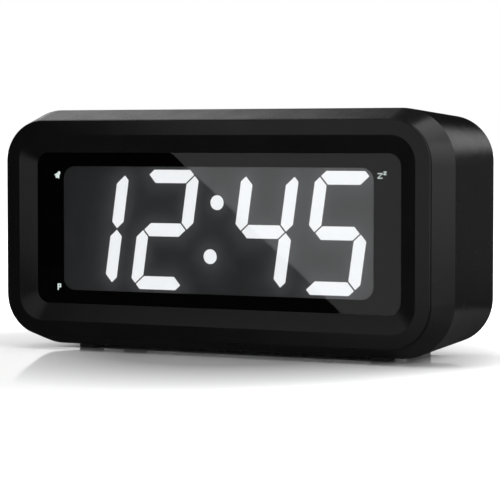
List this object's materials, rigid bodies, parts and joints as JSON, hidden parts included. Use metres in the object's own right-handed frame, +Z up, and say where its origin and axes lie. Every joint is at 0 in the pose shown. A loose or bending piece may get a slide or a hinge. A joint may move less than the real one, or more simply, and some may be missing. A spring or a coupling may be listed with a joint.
{
  "type": "digital led desk clock",
  "caption": "Black desk clock with a sunken smoked lens, white seven-bar digits, a snooze bar on top, rear keys, slide switches and a hinged battery door.",
  "frame": {"origin": "on the table, under the middle of the case", "axes": "+X to the right seen from the front, -Y out of the display, +Z up"},
  "size_m": [0.15, 0.05, 0.0743],
  "materials": {
    "case_black": "satin black moulding",
    "bezel_black": "satin black moulding",
    "smoked_lens": "clear gloss smoked acrylic",
    "mask_print": "black print",
    "reflector_grey": "matt dark grey",
    "dark_bar_resin": "matt dark grey, unlit",
    "lit_resin": "diffusing white resin, lit",
    "sign_resin": "diffusing pale resin, lit",
    "board_green": "green solder mask",
    "lamp_chip": "lamp chips",
    "chip_black": "moulded package",
    "bright_metal": "drawn can",
    "capacitor_sleeve": "shrunk sleeve",
    "nickel_contact": "nickel plated spring steel",
    "cell_sleeve": "plain sleeve over a steel can",
    "switch_black": "switch body",
    "plunger_plastic": "switch plunger",
    "buzzer_black": "sounder case",
    "plug_white": "cable plug",
    "ribbon_grey": "flat cable",
    "lead_red": "insulated lead",
    "screw_steel": "blackened pan head",
    "key_black": "fine satin",
    "foot_rubber": "matt rubber"
  },
  "bodies": {
    "case": {"main_housing": "case_black", "front_bezel": "bezel_black", "front_lens": "smoked_lens", "lens_mask": "mask_print", "display_reflector": "reflector_grey", "hour_tens_lit_bars": "lit_resin", "hour_ones_lit_bars": "lit_resin", "minute_tens_lit_bars": "lit_resin", "minute_ones_lit_bars": "lit_resin", "dark_bars": "dark_bar_resin", "colon_dots": "lit_resin", "alarm_light_guide": "sign_resin", "afternoon_light_guide": "sign_resin", "snooze_light_guide": "sign_resin", "main_board": "board_green", "segment_lamps": "lamp_chip", "sign_lamps": "lamp_chip", "clock_chip": "chip_black", "quartz_crystal": "bright_metal", "capacitors": "capacitor_sleeve", "rear_cover": "case_black", "negative_contact": "nickel_contact", "positive_contact": "nickel_contact", "linking_contact": "nickel_contact", "battery_cell_1": "cell_sleeve", "battery_cell_2": "cell_sleeve", "battery_cell_3": "cell_sleeve", "battery_cell_4": "cell_sleeve", "key_board": "board_green", "key_switches": "switch_black", "alarm_slide_switch": "switch_black", "dimmer_slide_switch": "switch_black", "buzzer": "buzzer_black", "snooze_switch": "switch_black", "main_plug": "plug_white", "key_plug": "plug_white", "ribbon_cable": "ribbon_grey", "battery_leads": "lead_red", "bezel_screws": "screw_steel", "display_screws": "screw_steel", "cover_screws": "screw_steel", "key_board_screws": "screw_steel", "left_front_foot": "foot_rubber", "right_front_foot": "foot_rubber", "left_rear_foot": "foot_rubber", "right_rear_foot": "foot_rubber"},
    "battery_door": {"battery_door": "case_black"},
    "snooze_bar": {"snooze_bar": "key_black", "snooze_plunger": "plunger_plastic"},
    "time_key": {"time_key": "key_black", "time_key_plunger": "plunger_plastic"},
    "alarm_key": {"alarm_key": "key_black", "alarm_key_plunger": "plunger_plastic"},
    "hour_key": {"hour_key": "key_black", "hour_key_plunger": "plunger_plastic"},
    "minute_key": {"minute_key": "key_black", "minute_key_plunger": "plunger_plastic"},
    "alarm_slide_knob": {"alarm_slide_knob": "key_black"},
    "dimmer_slide_knob": {"dimmer_slide_knob": "key_black"}
  },
  "joints": [
    {"name": "door_hinge", "type": "hinge", "parent": "case", "child": "battery_door", "pos_m": [0, 0.0226, 0.01], "axis": [-1, 0, 0], "range_deg": [0, 90]},
    {"name": "snooze_press", "type": "slide", "parent": "case", "child": "snooze_bar", "axis": [0, -0.051, -0.9987], "range_m": [0, 0.0008], "stiffness_N_per_m": 900, "springref_m": -0.0005},
    {"name": "time_key_press", "type": "slide", "parent": "case", "child": "time_key", "axis": [0, -1, 0], "range_m": [0, 0.0006], "stiffness_N_per_m": 500, "springref_m": -0.0004},
    {"name": "alarm_key_press", "type": "slide", "parent": "case", "child": "alarm_key", "axis": [0, -1, 0], "range_m": [0, 0.0006], "stiffness_N_per_m": 500, "springref_m": -0.0004},
    {"name": "hour_key_press", "type": "slide", "parent": "case", "child": "hour_key", "axis": [0, -1, 0], "range_m": [0, 0.0006], "stiffness_N_per_m": 500, "springref_m": -0.0004},
    {"name": "minute_key_press", "type": "slide", "parent": "case", "child": "minute_key", "axis": [0, -1, 0], "range_m": [0, 0.0006], "stiffness_N_per_m": 500, "springref_m": -0.0004},
    {"name": "alarm_slide", "type": "slide", "parent": "case", "child": "alarm_slide_knob", "axis": [1, 0, 0], "range_m": [0, 0.004]},
    {"name": "dimmer_slide", "type": "slide", "parent": "case", "child": "dimmer_slide_knob", "axis": [1, 0, 0], "range_m": [0, 0.004]}
  ]
}
